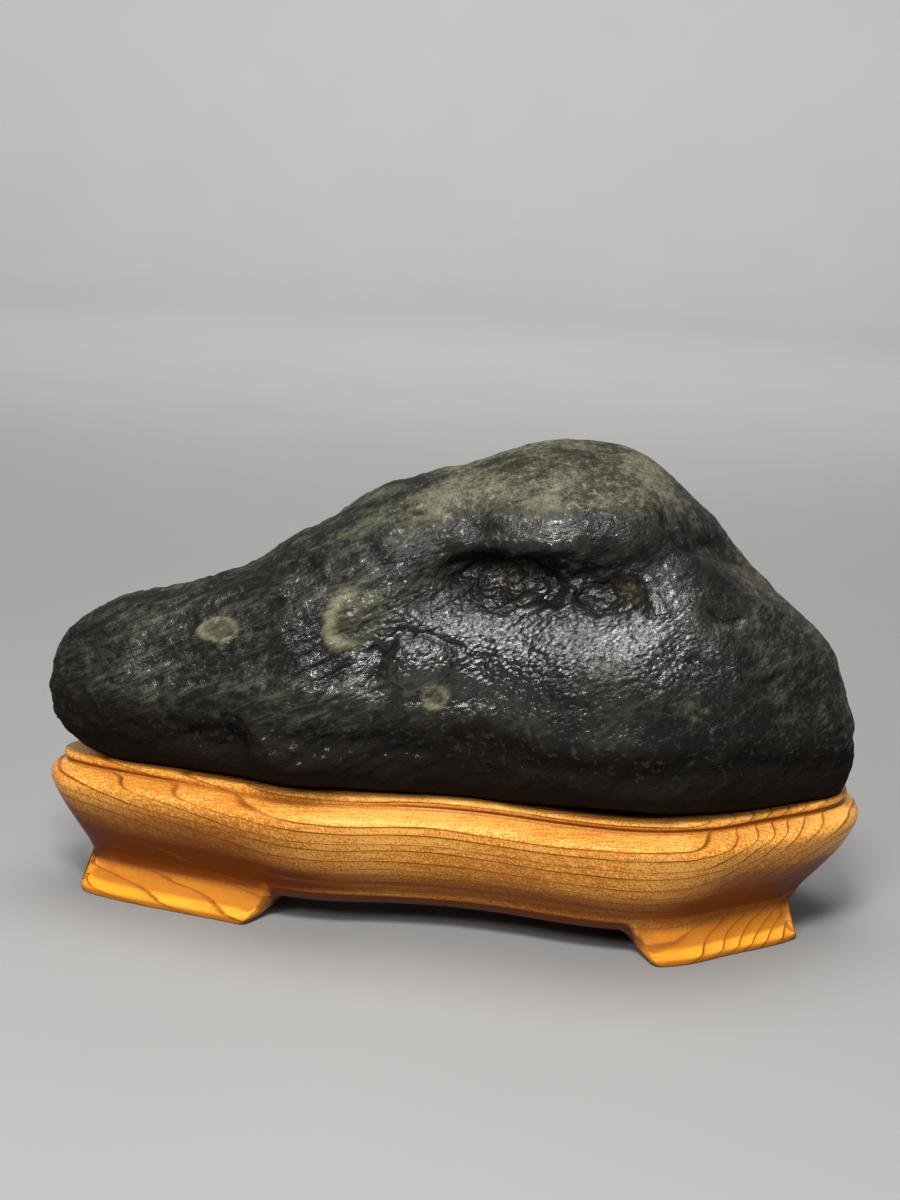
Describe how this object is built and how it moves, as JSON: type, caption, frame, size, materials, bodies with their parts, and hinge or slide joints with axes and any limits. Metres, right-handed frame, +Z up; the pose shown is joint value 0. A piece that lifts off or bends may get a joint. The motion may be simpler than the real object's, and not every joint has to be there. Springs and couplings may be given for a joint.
{
  "type": "scholar's rock on a stand",
  "caption": "Long dark waxed viewing stone with a low nose, a peak and a hollow under its brow, resting in a carved wooden stand with a moulded rim and flared feet.",
  "frame": {"origin": "middle of the whole object's footprint, on the surface that the feet stand on", "axes": "+X along the stone from its low nose to its bulky end, +Y from the front to the back, +Z up"},
  "size_m": [0.3096, 0.1328, 0.1816],
  "materials": {
    "stone": "waxed",
    "stand_wood": "varnished"
  },
  "bodies": {
    "root": {"stone": "stone", "stand": "stand_wood"}
  },
  "joints": []
}
